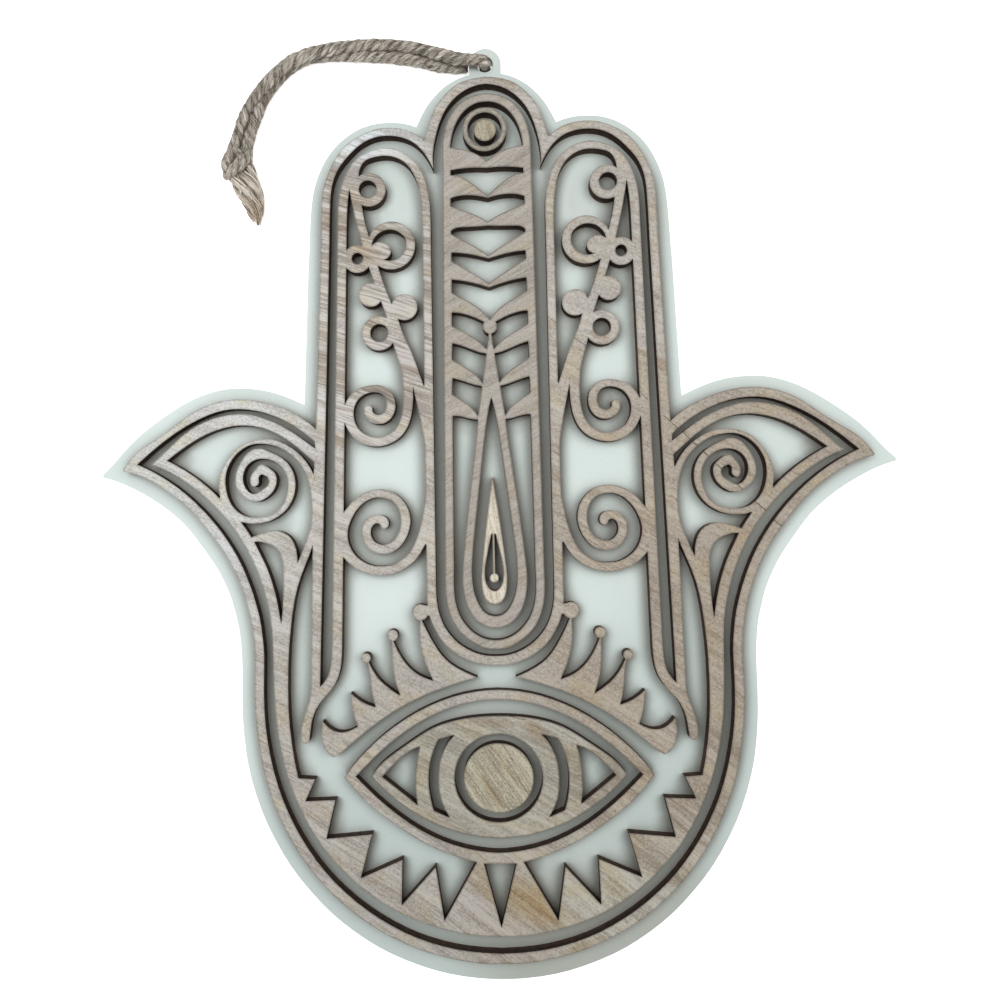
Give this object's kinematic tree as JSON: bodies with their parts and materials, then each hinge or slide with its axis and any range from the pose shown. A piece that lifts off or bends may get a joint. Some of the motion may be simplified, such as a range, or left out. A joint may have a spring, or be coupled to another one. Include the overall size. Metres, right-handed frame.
{
  "type": "hamsa hand ornament",
  "caption": "Flat hamsa hand wall ornament: pierced wood scrollwork with an eye on a painted backing board, hung by a knotted twine loop.",
  "frame": {"origin": "centre of the board's outline, on the plane of its flat back", "axes": "+X to the viewer's right, +Y towards the finger tips and the hanging tab, +Z out of the decorated face"},
  "size_m": [0.1728, 0.207, 0.006],
  "materials": {
    "face_wood": "raw plywood, greyed, laser-burnt edges",
    "pale_wood": "raw pale wood, laser-burnt edges",
    "painted_board": "matt pale mint-white paint",
    "twine": "natural jute, hairy"
  },
  "bodies": {
    "board": {"backing_plate": "painted_board", "fret_overlay": "face_wood", "finger_panel": "face_wood", "finger_ring": "face_wood", "eye_inlay": "face_wood", "finger_dot": "pale_wood", "teardrop_inlay": "pale_wood", "pupil_disc": "pale_wood"},
    "hanging_cord": {"cord_front_strand": "twine", "cord_back_strand": "twine", "cord_knot": "twine", "cord_tail_a": "twine", "cord_tail_b": "twine"}
  },
  "joints": [
    {"name": "cord_swing", "type": "hinge", "parent": "board", "child": "hanging_cord", "pos_m": [0, 0.098, 0.003], "axis": [0, 0, 1], "range_deg": [-180, 0]}
  ]
}
